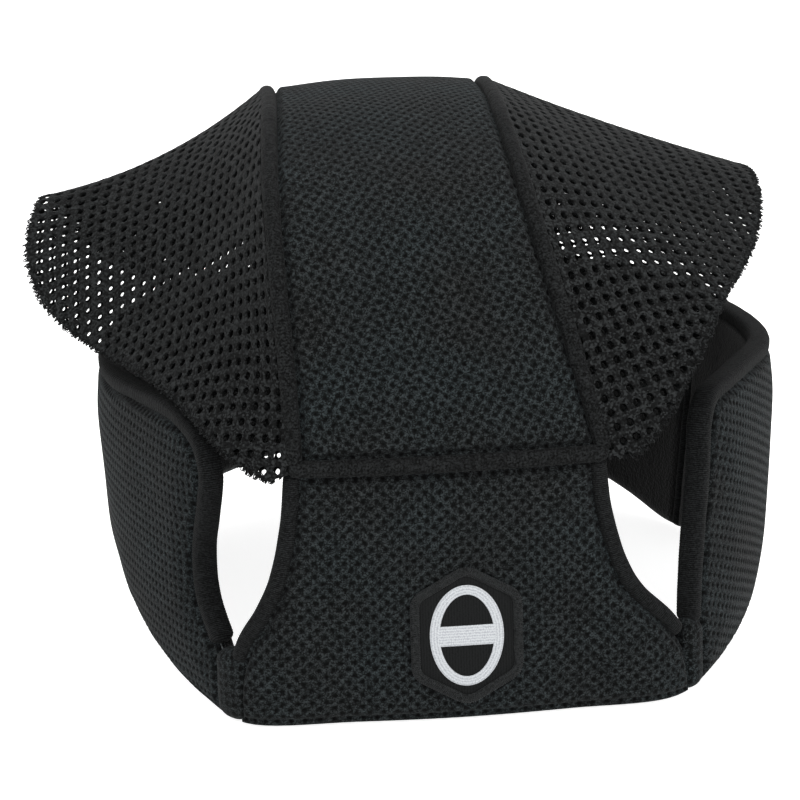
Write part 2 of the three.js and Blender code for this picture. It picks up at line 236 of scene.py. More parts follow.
# How far each side band's near edge leans away from the nape, at even heights up to LEAN_HEIGHT.
LEAN_HEIGHT = 60
LEAN_REACH = 50
SIDES = {
    "left": {"sign": -1, "run": 22, "drop": 11, "lean": [[0], [1], [10], [11], [7], [3]]},
    "right": {"sign": 1, "run": 6, "drop": 6, "lean": [[1], [0], [0.5], [2.5], [5], [6]]},
}


def leaned(side, s, z):
    """Place round the ring of a side band's point at s and z, once its near edge leans."""
    lean = spline(side["lean"], z / LEAN_HEIGHT)[..., 0]
    left = np.clip(1 - (s - BAND_START) / LEAN_REACH, 0, 1)
    return side["sign"] * (s + lean * left**2)


def band_top(side, s):
    """Height of a side band's pad, rounded off at its near upper corner."""
    out = np.clip(1 - (s - BAND_START) / side["run"], 0, 1)
    return edge_height(UPPER_EDGE, s) - TAPE - GAP - side["drop"] * (1 - np.sqrt(1 - out**2))


def normals(surface, a, b):
    step = 0.02
    along_a = surface(a + step, b) - surface(a - step, b)
    along_b = surface(a, b + step) - surface(a, b - step)
    return unit(np.cross(along_a, along_b))


def lifted(surface, a, b, height):
    return surface(a, b) + normals(surface, a, b) * np.asarray(height)[..., None]


# The CAD's origin is in the middle of its foot; the places of two CAD pieces give the shift to it.
piping_low, piping_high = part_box("forehead_seam_piping")
nape_low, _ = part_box("nape_cover")
SHIFT = np.array([
    (piping_low[0] + piping_high[0]) * 500 - CROWN[-1][2],
    nape_low[1] * 1000 - ring(np.linspace(-9, 9, 37), 0)[:, 1].min(),
    0,
])

# ---- Mesh making ----


def new_mesh(name, points, faces, material, fabric):
    """Mesh from points in millimetres and lists of faces; fabric is each point's place in the cloth."""
    points = np.asarray(points, float).reshape(-1, 3) + SHIFT
    points[:, 2] = np.maximum(points[:, 2], 0)
    faces = [np.asarray(f, np.int32) for f in faces if len(f)]
    loops = np.concatenate([f.ravel() for f in faces])
    sizes = np.concatenate([np.full(len(f), f.shape[1]) for f in faces])
    starts = np.concatenate([[0], np.cumsum(sizes)[:-1]])
    mesh = bpy.data.meshes.new(name)
    mesh.vertices.add(len(points))
    mesh.vertices.foreach_set("co", (points / 1000).astype(np.float32).ravel())
    mesh.loops.add(len(loops))
    mesh.loops.foreach_set("vertex_index", loops)
    mesh.polygons.add(len(sizes))
    mesh.polygons.foreach_set("loop_start", starts.astype(np.int32))
    mesh.update(calc_edges=True)
    layer = mesh.uv_layers.new(name="Fabric")
    flat = np.asarray(fabric, np.float32).reshape(-1, 2)[loops]
    layer.data.foreach_set("uv", flat.ravel())
    mesh.validate()
    mesh.shade_smooth()
    mesh.materials.append(material)
    piece = bpy.data.objects.new(name, mesh)
    bpy.context.collection.objects.link(piece)
    return piece


def quads_of(index):
    """Faces between the points of a grid, whose numbers are in the last two axes of index."""
    corners = (index[..., :-1, :-1], index[..., :-1, 1:], index[..., 1:, 1:], index[..., 1:, :-1])
    return np.stack(corners, axis=-1).reshape(-1, 4)


def wrapped(index):
    """The same grid with its first column once more at its end, so that its faces close round."""
    return np.concatenate([index, index[..., :1]], axis=-1)


def stitch(fine, coarse):
    """Triangles between a fine and a coarse row of points that start and end side by side."""
    ratio = (len(fine) - 1) // (len(coarse) - 1)
    faces = []
    for j in range(len(coarse) - 1):
        start = j * ratio
        half = ratio // 2
        faces += [(coarse[j], fine[start + k + 1], fine[start + k]) for k in range(half)]
        faces.append((coarse[j], coarse[j + 1], fine[start + half]))
        faces += [(coarse[j + 1], fine[start + k + 1], fine[start + k]) for k in range(half, ratio)]
    return faces


def shell(name, face, underside, fabric, material, flip=False):
    """Closed sheet with a fine face and a coarse underside, both grids of points over one patch."""
    rows, columns = face.shape[:2]
    under = underside[::STRIDE, ::STRIDE]
    under_rows, under_columns = under.shape[:2]
    fine = np.arange(rows * columns).reshape(rows, columns)
    coarse = rows * columns + np.arange(under_rows * under_columns).reshape(under_rows, under_columns)
    quads = np.vstack([quads_of(fine), quads_of(coarse)[:, ::-1]])
    skirt = []
    for grid_edge in (lambda g: g[0], lambda g: g[:, -1], lambda g: g[-1][::-1], lambda g: g[:, 0][::-1]):
        skirt += stitch(grid_edge(fine), grid_edge(coarse))
    skirt = np.array(skirt)
    if flip:
        quads, skirt = quads[:, ::-1], skirt[:, ::-1]
    points = np.vstack([face.reshape(-1, 3), under.reshape(-1, 3)])
    flat = np.vstack([fabric.reshape(-1, 2), fabric[::STRIDE, ::STRIDE].reshape(-1, 2)])
    return new_mesh(name, points, [quads, skirt], material, flat)


def tube(name, path, side, up, outline, material, swell=1.0, closed=False):
    """Sweep of an outline (points across, points up) along a path; open ends round off."""
    count, around = len(path), len(outline)
    distance = distances(path)
    reach = np.abs(outline).max(axis=0).min()
    to_end = np.minimum(distance, distance[-1] - distance)
    out = np.zeros(count) if closed else np.clip(1 - to_end / reach, 0, 1)
    size = np.maximum(np.sqrt(1 - out**2), 0.05)[:, None] * swell
    aside, height = outline[:, 0] * size, outline[:, 1] * size
    points = path[:, None] + side[:, None] * aside[..., None] + up[:, None] * height[..., None]
    index = np.arange(count * around).reshape(count, around)
    if closed:
        faces = [quads_of(wrapped(np.vstack([index, index[:1]])))]
    else:
        faces = [quads_of(wrapped(index)), np.array([index[0][::-1], index[-1]])]
    perimeter = np.linalg.norm(np.diff(outline, axis=0, append=outline[:1]), axis=1)
    round_it = np.concatenate([[0], np.cumsum(perimeter)[:-1]])
    fabric = pairs(round_it[None, :], distance[:, None])
    return new_mesh(name, points, faces, material, fabric)


def across(forward):
    """A direction square to each of the given ones."""
    helper = np.where(np.abs(forward[..., 2:]) < 0.9, [0, 0, 1.0], [1.0, 0, 0])
    return unit(np.cross(forward, helper))


def threads(name, paths, radius, material, around=5):
    """Thin round yarns along paths, an array of [yarn, point, xyz], all in one mesh."""
    yarns, count = paths.shape[:2]
    forward = unit(np.gradient(paths, axis=1))
    side = across(forward)
    up = np.cross(side, forward)
    angle = np.linspace(0, 2 * math.pi, around, endpoint=False)
    taper = np.full(count, radius)
    taper[[0, -1]] *= YARN_TIP
    spoke = np.cos(angle)[:, None] * side[:, :, None] + np.sin(angle)[:, None] * up[:, :, None]
    points = paths[:, :, None] + spoke * taper[:, None, None]
    index = np.arange(yarns * count * around).reshape(yarns, count, around)
    caps = np.vstack([index[:, 0, ::-1], index[:, -1]])
    length = np.arange(count)[:, None] * radius * 3
    fabric = np.broadcast_to(pairs(angle[None] * radius, length), points.shape[:-1] + (2,))
    return new_mesh(name, points, [quads_of(wrapped(index)), caps], material, fabric)


def superellipse(half_width, half_height, power, count):
    angle = np.linspace(0, 2 * math.pi, count, endpoint=False)
    c, s = np.cos(angle), np.sin(angle)
    return np.stack([
        half_width * np.sign(c) * np.abs(c) ** (2 / power),
        half_height * np.sign(s) * np.abs(s) ** (2 / power),
    ], axis=-1)


# ---- Cloth relief ----


def waves(x, y, scale, seed):
    """Smooth uneven relief from -1 to 1, as cloth over foam has, with the given feature size."""
    local = np.random.default_rng(seed)
    total = np.zeros(np.broadcast(x, y).shape)
    count = 9
    for _ in range(count):
        angle = local.uniform(0, 2 * math.pi)
        length = scale * local.uniform(0.7, 1.6)
        phase = local.uniform(0, 2 * math.pi)
        total += np.sin((x * math.cos(angle) + y * math.sin(angle)) * 2 * math.pi / length + phase)
    return total / count


def turned(x, y, degrees):
    c, s = math.cos(math.radians(degrees)), math.sin(math.radians(degrees))
    return c * x - s * y, s * x + c * y


def dimples(x, y):
    """Depth of the knit's dimples, which sit on a square lattice of the cloth."""
    dx = (x / KNIT_PITCH - np.round(x / KNIT_PITCH)) * KNIT_PITCH
    dy = (y / KNIT_PITCH - np.round(y / KNIT_PITCH)) * KNIT_PITCH
    return DIMPLE_DEPTH * np.exp(-(dx**2 + dy**2) / DIMPLE_RADIUS**2)


def roll_off(distance, radius=PAD / 2):
    """How far the rolled edge of a pad falls away, at a distance in from the edge."""
    out = np.clip(1 - distance / radius, 0, 1)
    return radius * (1 - np.sqrt(1 - out**2))


# ---- Node materials ----


class Nodes:
    """Short way to write a node material."""

    def __init__(self, name):
        self.material = bpy.data.materials.new(name)
        self.material.use_nodes = True
        self.tree = self.material.node_tree
        self.shader = self.tree.nodes["Principled BSDF"]

    def add(self, kind, settings=None, **inputs):
        node = self.tree.nodes.new(kind)
        for key, value in (settings or {}).items():
            setattr(node, key, value)
        for key, value in inputs.items():
            socket = int(key[1:]) if key[1:].isdigit() else key.replace("_", " ")
            self.feed(node.inputs[socket], value)
        return node

    def feed(self, socket, value):
        if isinstance(value, bpy.types.NodeSocket):
            self.tree.links.new(value, socket)
        else:
            socket.default_value = value

    def math(self, operation, a, b=0.0):
        return self.add("ShaderNodeMath", {"operation": operation}, i0=a, i1=b).outputs[0]

    def ramp(self, factor, stops):
        node = self.add("ShaderNodeValToRGB", i0=factor)
        elements = node.color_ramp.elements
        while len(elements) < len(stops):
            elements.new(0.5)
        for element, (place, color) in zip(elements, stops):
            element.position = place
            element.color = (*color, 1)
        return node.outputs["Color"]

    def noise(self, vector, scale, detail=3.0):
        node = self.add("ShaderNodeTexNoise", Vector=vector, Scale=scale, Detail=detail)
        return node.outputs["Fac"]

    def uv(self):
        return self.add("ShaderNodeUVMap", {"uv_map": "Fabric"}).outputs["UV"]

    def place(self):
        return self.add("ShaderNodeTexCoord").outputs["Object"]

    def cells(self, scale, randomness):
        """Distance to the middle of the nearest cell of the flat cloth, scale cells to a millimetre."""
        lattice = self.add("ShaderNodeMapping", Vector=self.uv(), Scale=scale).outputs[0]
        settings = {"voronoi_dimensions": "2D", "feature": "F1"}
        node = self.add("ShaderNodeTexVoronoi", settings, Vector=lattice, Scale=1.0, Randomness=randomness)
        return node.outputs["Distance"]

    def bubbles(self, scale):
        return self.add("ShaderNodeTexVoronoi", {"feature": "F1"}, Vector=self.place(), Scale=scale)

    def speckle(self, scale):
        """Light and dark grains at random, as the ends of a knit's filaments."""
        grains = self.bubbles(scale).outputs["Color"]
        return self.add("ShaderNodeSeparateColor", Color=grains).outputs["Red"]

    def times(self, a, b):
        node = self.add("ShaderNodeMix", {"data_type": "RGBA", "blend_type": "MULTIPLY"}, i0=1.0, i6=a, i7=b)
        return node.outputs[2]

    def finish(self, color, roughness, height, depth, sheen=0.0, sheen_roughness=0.4):
        bump = self.add("ShaderNodeBump", Strength=1.0, Distance=depth, Height=height)
        settings = {
            "Base Color": color, "Roughness": roughness, "Specular IOR Level": 0.07,
            "Sheen Weight": sheen, "Sheen Roughness": sheen_roughness, "Normal": bump.outputs["Normal"],
        }
        for key, value in settings.items():
            self.feed(self.shader.inputs[key], value)
        return self.material


def grey(value, tint=(0.94, 1.02, 1.04)):
    return tuple(value * t for t in tint)


def knit_material():
    """Charcoal warp knit: speckled loops, with painted shade darkening the middle of each dimple."""
    n = Nodes("knit")
    dimple_painted_shade = n.cells((1 / KNIT_PITCH,) * 3, 0.0)
    speckle = n.speckle(3900.0)
    # Painted shade: the colour falls to near black in the middle of each dimple, where its recess is shaded.
    shade = n.ramp(dimple_painted_shade, [(0.16, grey(0.0008)), (0.4, grey(0.0085))])
    color = n.times(shade, n.ramp(speckle, [(0.0, grey(0.05)), (0.5, grey(0.75)), (1.0, grey(3.2))]))
    broad = n.noise(n.place(), 45.0)
    color = n.times(color, n.ramp(broad, [(0.3, (0.95, 0.88, 0.86)), (0.7, (1.03, 1.13, 1.15))]))
    return n.finish(color, 0.85, speckle, 0.00007, sheen=0.015)


def pile_material():
    """Black brushed pile."""
    n = Nodes("pile")
    place = n.place()
    nap = n.noise(place, 1500.0, 4.0)
    patches = n.noise(place, 70.0)
    color = n.ramp(patches, [(0.3, grey(0.0012)), (0.75, grey(0.0034))])
    roughness = n.math("ADD", n.math("MULTIPLY", nap, 0.1), 0.88)
    return n.finish(color, roughness, nap, 0.0006, sheen=0.06, sheen_roughness=0.6)


def foam_material():
    """Open-cell grey foam."""
    n = Nodes("foam")
    cells = n.bubbles(1400.0).outputs["Distance"]
    color = n.ramp(cells, [(0.1, grey(0.11)), (0.6, grey(0.045))])
    return n.finish(color, 0.95, cells, 0.0004)


def tape_material(name, shade, ribs_per_mm, rib_share):
    """Ribbed tape: fine ribs across its length over speckled yarn."""
    n = Nodes(name)
    ribs = n.add(
        "ShaderNodeTexWave",
        {"wave_type": "BANDS", "bands_direction": "Y"},
        Vector=n.uv(),
        Scale=ribs_per_mm * 0.32,
        Distortion=1.2,
        Detail=2.0,
    ).outputs["Fac"]
    speckle = n.speckle(3200.0)
    grain = n.math("MULTIPLY", speckle, 1 - rib_share)
    blended = n.math("ADD", n.math("MULTIPLY", ribs, rib_share), grain)
    color = n.ramp(blended, [(0.15, grey(shade * 0.15)), (0.5, grey(shade)), (0.9, grey(shade * 3))])
    return n.finish(color, 0.85, blended, 0.0002, sheen=0.015)


def mesh_material(name, shade):
    """Spacer mesh yarn: fuzzy speckle with a few light filaments."""
    n = Nodes(name)
    speckle = n.speckle(2300.0)
    fuzz = n.noise(n.place(), 1500.0)
    blended = n.math("ADD", n.math("MULTIPLY", speckle, 0.62), n.math("MULTIPLY", fuzz, 0.5))
    stops = [(0.25, grey(shade * 0.1)), (0.55, grey(shade)), (0.82, grey(shade * 5))]
    return n.finish(n.ramp(blended, stops), 0.8, blended, 0.0002, sheen=0.015)


def thread_material(name, shade):
    """Sewing thread with a light catching its twist."""
    n = Nodes(name)
    speckle = n.speckle(4200.0)
    color = n.ramp(speckle, [(0.1, grey(shade * 0.4)), (0.9, grey(shade * 2.2))])
    return n.finish(color, 0.6, speckle, 0.00008, sheen=0.05)


def weave_material(name, dark, light):
    """Fine woven ground: short threads crossing in rows."""
    n = Nodes(name)
    grain = n.cells((1.6, 4.2, 1.0), 0.35)
    color = n.ramp(grain, [(0.15, light), (0.62, dark)])
    return n.finish(color, 0.7, n.math("MULTIPLY", grain, -1.0), 0.00012, sheen=0.05)


KNIT = knit_material()
PILE = pile_material()
FOAM = foam_material()
BINDING = tape_material("binding", 0.0046, 2.2, 0.45)
PIPING = tape_material("piping_cloth", 0.0042, 1.4, 0.12)
MESH_FACE = mesh_material("mesh_face", 0.0033)
MESH_BACK = mesh_material("mesh_back", 0.0028)
THREAD = thread_material("black_thread", 0.010)
TWILL = weave_material("badge_twill", grey(0.002), grey(0.0075))
WHITE_WEAVE = weave_material("badge_white", (0.24, 0.25, 0.265), (0.45, 0.465, 0.48))

# ---- Pads ----

TUCK = 1.7  # how far a pad's cloth runs on under the piping or tape beside it
TEMPLE_TUCK = 1.0
# Spacing of the points of a pad's cover, lining and foam.
COVER_SAMPLE = 0.41
LINING_SAMPLE = 0.9
FOAM_SAMPLE = 2.4
UNDER_ROLL = 0.72  # share of a pad's rolled edge that the hidden side of its cloth follows
FOAM_ROOM = 0.4  # between a pad's foam and the cloth on each side of it
FOAM_ROLL = 2.2  # radius of the foam's rounded edge
GROOVE_DEPTH = 1.1  # the stitched groove in the cover beside every piping and tape
GROOVE_HALF = 0.75


def patch_rows(length, sample):
    """Number of grid rows over a length: whole strides at about the sample spacing, and one more."""
    return STRIDE * max(2, round(length / sample / STRIDE)) + 1


def crown_patch(sample):
    rows, columns = patch_rows(STRIP_LENGTH, sample), patch_rows(58, sample)
    d = np.linspace(-TUCK, STRIP_LENGTH + TUCK, rows)[:, None]
    u = np.linspace(-1, 1, columns)[None, :]
    half = strip_half(d) + TUCK
    a = u * half
    sideways = (1 - np.abs(u)) * half
    inward = np.minimum(sideways, np.minimum(d + TUCK, STRIP_LENGTH + TUCK - d))
    return a, d + 0 * u, inward


def nape_patch(sample):
    rows, columns = patch_rows(NAPE_TOP, sample), patch_rows(96, sample)
    v = np.linspace(0, 1, rows)[:, None]
    u = np.linspace(-1, 1, columns)[None, :]
    z, half, middle = np.moveaxis(spline(NAPE, v), -1, 0)
    slope = np.gradient(half[:, 0], z[:, 0])[:, None]
    half = half + TUCK
    z = z * (1 + TUCK / NAPE_TOP)
    sideways = (1 - np.abs(u)) * half / np.sqrt(1 + slope**2)
    inward = np.minimum(sideways, np.minimum(z, NAPE_TOP + TUCK - z))
    return middle + u * half, z + 0 * u, inward


def upright_patch(s, low, top, sample, ends):
    """Patch between two heights over a stretch of the ring."""
    rows = patch_rows((top - low).max(), sample)
    v = np.linspace(0, 1, rows)[:, None]
    z = low + (top - low) * v
    foot_slope, top_slope = np.gradient(low, s), np.gradient(top, s)
    below = (z - low) / np.sqrt(1 + foot_slope**2)
    above = (top - z) / np.sqrt(1 + top_slope**2)
    inward = np.minimum(np.minimum(below, above), ends)
    return s + 0 * z, z, inward


def band_patch(side, sample):
    columns = patch_rows(TEMPLE - BAND_START, sample)
    start, end = BAND_START - TUCK, TEMPLE - TEMPLE_HALF + TEMPLE_TUCK
    s = np.linspace(start, end, columns)
    top = band_top(side, s) + TUCK
    s, z, inward = upright_patch(s, edge_height(LOWER_EDGE, s), top, sample, np.minimum(s - start, end - s))
    patch = (leaned(side, s, z), z, inward)
    return patch if side["sign"] > 0 else tuple(grid[:, ::-1] for grid in patch)


def forehead_patch(sample):
    start = TEMPLE + TEMPLE_HALF - TEMPLE_TUCK
    columns = patch_rows(2 * (FOREHEAD - start), sample)
    s = np.linspace(start, 2 * FOREHEAD - start, columns)
    near = FOREHEAD - np.abs(s - FOREHEAD)
    top = edge_height(UPPER_EDGE, near) + TUCK
    return upright_patch(s, edge_height(LOWER_EDGE, near), top, sample, near - start)


def add_fixed(piece, node):
    """Makes a piece ride the root body and in place of the CAD node, if one is named."""
    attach(piece, "root")
    if node:
        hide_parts(node)


def add_soft(piece, node):
    add_fixed(piece, node)


def pad(name, surface, patch, turn, puff, seed, sample=COVER_SAMPLE):
    """The cover, lining and foam core of one pad; turn is its knit's slant in degrees, puff its dome."""
    a, b, inward = patch(sample)
    x, y = turned(a, b, turn)
    edge = np.clip(inward / 5, 0, 1)
    soft = puff * (1 - np.exp(-((inward / 8) ** 2))) + 0.28 * waves(x, y, 26, seed) * edge
    relief = dimples(x, y) * np.clip(inward / 1.5, 0.3, 1)
    relief = relief + GROOVE_DEPTH * np.exp(-(((inward - TUCK) / GROOVE_HALF) ** 2))
    face = lifted(surface, a, b, soft - roll_off(inward) - relief)
    underside = lifted(surface, a, b, soft - COVER - UNDER_ROLL * roll_off(inward))
    cover = shell(f"{name}_pad_cover", face, underside, pairs(x, y), KNIT)
    add_soft(cover, f"{name}_cover")

    a, b, inward = patch(LINING_SAMPLE)
    nap = 0.22 * waves(a, b, 2.6, seed + 1) + 0.3 * waves(a, b, 19, seed + 2)
    face = lifted(surface, a, b, -PAD - 0.3 * puff + roll_off(inward) + nap * np.clip(inward / 3, 0, 1))
    underside = lifted(surface, a, b, LINING - PAD + UNDER_ROLL * roll_off(inward))
    lining = shell(f"{name}_pad_lining", face, underside, pairs(a, b), PILE, flip=True)
    add_soft(lining, f"{name}_lining")

    a, b, inward = patch(FOAM_SAMPLE)
    rounding = 0.5 * roll_off(inward, FOAM_ROLL)
    face = lifted(surface, a, b, -COVER - FOAM_ROOM - rounding)
    underside = lifted(surface, a, b, LINING + FOAM_ROOM - PAD + rounding)
    foam = shell(f"{name}_pad_foam", face, underside, pairs(a, b), FOAM)
    add_soft(foam, f"{name}_foam")


def make_pads():
    pad("crown", strip, crown_patch, 37, 0.3, 11)
    pad("nape", ring, nape_patch, 45, NAPE_PUFF, 21)
    pad("band_left", ring, lambda sample: band_patch(SIDES["left"], sample), 0, 1.5, 31)
    pad("band_right", ring, lambda sample: band_patch(SIDES["right"], sample), 22, 1.5, 41)
    pad("forehead", ring, forehead_patch, 45, 1.4, 51, sample=0.45)


# ---- Tapes and pipings ----


def frame_along(surface, a, b, height, aside=0.0):
    """Path on a surface with its sideways and outward directions at every point."""
    path = lifted(surface, a, b, height)
    up = normals(surface, a, b)
    side = unit(np.cross(np.gradient(path, axis=0), up))
    return path + side * aside, side, up


def resampled(points, spacing):
    """Points evenly spaced along a line of [a, b] points, both in millimetres."""
    distance = distances(points)
    wanted = np.linspace(0, distance[-1], max(8, int(distance[-1] / spacing)))
    return np.stack([np.interp(wanted, distance, points[:, k]) for k in range(2)], axis=-1)


def ribbed(count, around, spacing, pitch, depth, slant=0.0):
    """Swelling of a sweep's outline into ribs, pitch millimetres apart, slanted around it for a twist."""
    along = np.arange(count)[:, None] * spacing / pitch
    angle = np.arange(around)[None, :] / around
    return 1 + depth * np.sin(2 * math.pi * (along + slant * angle))


TAPE_SAMPLE = 0.22
TAPE_EDGE = 2.75  # half the thickness of a bound edge, where the foam is pressed thin


def ribbed_tape(line, aside, outline, rib, seed):
    """Sweep of a tape along a line of [s, z] points on the ring: path, directions and swelling."""
    path, side, up = frame_along(ring, line[:, 0], line[:, 1], -PAD / 2, aside)
    uneven = 1 + 0.03 * waves(line[:, :1], line[:, 1:], 6, seed)
    return path, side, up, ribbed(len(path), len(outline), TAPE_SAMPLE, 0.66, rib) * uneven


def binding(name, node, edge, aside):
    """Tape folded over an edge of the ring; edge is its line of [s, z] points."""
    outline = superellipse(TAPE / 2 + 0.15, TAPE_EDGE, 3, 28)
    path, side, up, swell = ribbed_tape(resampled(edge, TAPE_SAMPLE), aside, outline, 0.012, 61)
    add_fixed(tube(name, path, side, up, outline, BINDING, swell), node)


def nape_edge(sign):
    """The nape pad's bound edge, from the corner seam up into the nape seam."""
    v = np.linspace(0.24, 1, 120)
    z, half, middle = np.moveaxis(spline(NAPE, v), -1, 0)
    return pairs(middle + sign * half, z * (1 + TUCK / NAPE_TOP))


def band_edge(side):
    """The side band's free edge: up the near edge, round the corner and along the top."""
    foot = GAP_FLOOR - TAPE / 2 + 1
    near = pairs(BAND_START, np.linspace(foot, band_top(side, np.array(BAND_START)), 40))
    turn = np.linspace(0, math.pi / 2, 40)[1:]
    corner = BAND_START + side["run"] * (1 - np.cos(turn))
    far = np.linspace(BAND_START + side["run"], TEMPLE - TEMPLE_HALF, 60)[1:]
    s = np.concatenate([corner, far])
    s, z = np.vstack([near, pairs(s, band_top(side, s))]).T
    return pairs(leaned(side, s, z), z)


def upright_tape(name, node, s, low, top, half_width, material):
    """Tape over the seam at s, from low to top."""
    line = resampled(np.array([[s, low], [s, top]]), TAPE_SAMPLE)
    outline = superellipse(half_width, PAD / 2 + 0.45, 2.4, 24)
    path, side, up, swell = ribbed_tape(line, 0.0, outline, 0.008, 62)
    add_fixed(tube(name, path, side, up, outline, material, swell), node)


def make_tapes():
    offset = TAPE / 2 + GAP
    nape_half, nape_middle = NAPE[0][1:]
    for name, side in SIDES.items():
        sign = side["sign"]
        binding(f"nape_tape_{name}", f"nape_binding_{name}", nape_edge(sign), sign * offset)
        binding(f"band_tape_{name}", f"band_binding_{name}", band_edge(side), -sign * offset)
        nape_side = abs(nape_middle + sign * nape_half)
        s = sign * (nape_side + BAND_START) / 2
        half_width = (BAND_START - nape_side) / 2
        top = GAP_FLOOR + 1
        upright_tape(f"corner_ridge_{name}", f"corner_tape_{name}", s, 0.2, top, half_width, KNIT)
        low = edge_height(LOWER_EDGE, TEMPLE) + 0.2
        top = edge_height(UPPER_EDGE, TEMPLE)
        upright_tape(f"temple_seam_{name}", f"temple_tape_{name}", sign * TEMPLE, low, top, 1.5, BINDING)


PIPING_SAMPLE = 0.3


def piping(name, node, path, side, up, twist, seed):
    """Cord under a bias strip of knit, with the strip's slanting wrinkles."""
    around = 20
    outline = superellipse(PIPING_R, PIPING_R, 2, around)
    angle = np.arange(around)[None, :] / around
    along = np.arange(len(path))[:, None] * PIPING_SAMPLE
    wrinkles = waves(along, angle * 8, 5, seed) * 0.07
    swell = ribbed(len(path), around, PIPING_SAMPLE, 2.1, twist, slant=1) + wrinkles
    add_fixed(tube(name, path, side, up, outline, PIPING, swell), node)


def crown_side_path(sign):
    """Line of the piping along a side of the crown strip, with its ends inside the cross pipings."""
    d = np.linspace(-2, STRIP_LENGTH + 2, int(STRIP_LENGTH / PIPING_SAMPLE))
    a = sign * (strip_half(d) + GAP + PIPING_R)
    return frame_along(strip, a, d, -PIPING_DEPTH)


def cross_path(at_nape):
    """Line of the piping across an end of the crown strip."""
    ring_top = NAPE_TOP if at_nape else RIM
    _, z, middle, half = CROWN[0 if at_nape else -1]
    reach = half + GAP + 1.5 * PIPING_R
    a = np.linspace(-reach, reach, int(2 * reach / PIPING_SAMPLE))
    upper = lifted(strip, a, 0.0 if at_nape else STRIP_LENGTH, -SEAM_PIPING_DEPTH)
    s = middle + a if at_nape else FOREHEAD - middle - a
    lower = lifted(ring, s, ring_top, -SEAM_PIPING_DEPTH)
    path = (upper + lower) / 2
    path[:, 2] = (z + ring_top) / 2
    up = normals(ring, s, ring_top)
    return path, unit(np.cross(np.gradient(path, axis=0), up)), up


def make_pipings():
    for seed, (name, side) in enumerate(SIDES.items()):
        route = crown_side_path(side["sign"])
        piping(f"strip_piping_{name}", f"crown_piping_{name}", *route, 0.01, 71 + seed)
    piping("cross_piping_nape", "nape_seam_piping", *cross_path(True), 0.035, 81)
    piping("cross_piping_forehead", "forehead_seam_piping", *cross_path(False), 0.035, 82)


# ---- Mesh wings ----

# The free edge of each wing, from the nape seam out round the flared tip to the forehead seam.
WING_EDGES = {
    "left": [
        [-41.5, -86.5, 56.5], [-51, -79, 62.5], [-60, -60, 69.5], [-69, -41, 72], [-78, -24, 73.5],
        [-88.5, -10, 80.5], [-92, 2, 91], [-88, 15, 100], [-81, 30, 94], [-74, 43, 80],
        [-64, 57, 71.5], [-52, 72, 69.5], [-42, 84, 70],
    ],
    "right": [
        [39.5, -87.5, 58], [48, -84, 68], [56, -77, 79.5], [63.5, -66, 88.5], [69.5, -55, 92],
        [74.5, -44, 95], [79, -29, 100], [81, -12, 103.5], [81, 10, 101], [79, 33, 90],
        [69, 52, 81], [56, 66, 76.5], [44, 81, 71],
    ],
}
WING_TURN = {"left": -17, "right": -9}  # turn of each wing's mesh against its piping, in degrees
WING_OVERHANG = {"left": 3, "right": 4}  # how far the sewn edge runs on below the nape seam
WING_SAG = {"left": 3.8, "right": 0.8}  # how far each wing hangs in between its piping and its free edge


def wing_grid(side_name, rows=64, columns=16):
    """Points of a wing's middle surface, from the piping out to the free edge, and its outward normals."""
    sign = SIDES[side_name]["sign"]
    v = np.linspace(0, 1, rows)
    d = -WING_OVERHANG[side_name] + (STRIP_LENGTH + WING_OVERHANG[side_name] - 4) * v
    a = sign * (strip_half(d) + GAP + 1.5 * PIPING_R)
    sewn = lifted(strip, a, d, -PIPING_DEPTH)
    free = spline(WING_EDGES[side_name], v)
    u = np.linspace(0, 1, columns)[None, :, None]
    points = sewn[:, None] * (1 - u) + free[:, None] * u
    hang = WING_SAG[side_name] * 4 * u * (1 - u) * np.sin(math.pi * v)[:, None, None]
    points = points - outward(points, sign) * hang
    return points, outward(points, sign)


def outward(points, sign):
    """Outward normals of a wing's grid of points."""
    return unit(np.cross(np.gradient(points, axis=1), np.gradient(points, axis=0)) * sign)


def flattened(points, rounds=900):
    """The same cloth laid flat: every edge of the grid pulled towards its length on the body."""
    rows, columns = points.shape[:2]
    index = np.arange(rows * columns).reshape(rows, columns)
    ties = [
        (index[:-1], index[1:]), (index[:, :-1], index[:, 1:]),
        (index[:-1, :-1], index[1:, 1:]), (index[:-1, 1:], index[1:, :-1]),
    ]
    first, second = (np.concatenate([tie[end].ravel() for tie in ties]) for end in (0, 1))
    body = points.reshape(-1, 3)
    rest = np.linalg.norm(body[first] - body[second], axis=1)
    along = distances(points[:, columns // 2])
    out = np.linalg.norm(points - points[:, :1], axis=-1)
    flat = pairs(out, along[:, None]).reshape(-1, 2)
    degree = np.bincount(first, minlength=len(flat)) + np.bincount(second, minlength=len(flat))
    for _ in range(rounds):
        gap = flat[second] - flat[first]
        length = np.maximum(np.linalg.norm(gap, axis=1, keepdims=True), 1e-6)
        pull = gap * (1 - rest[:, None] / length) / 2
        move = np.zeros_like(flat)
        np.add.at(move, first, pull)
        np.add.at(move, second, -pull)
        flat += move / degree[:, None] * 1.6
    return flat.reshape(rows, columns, 2)


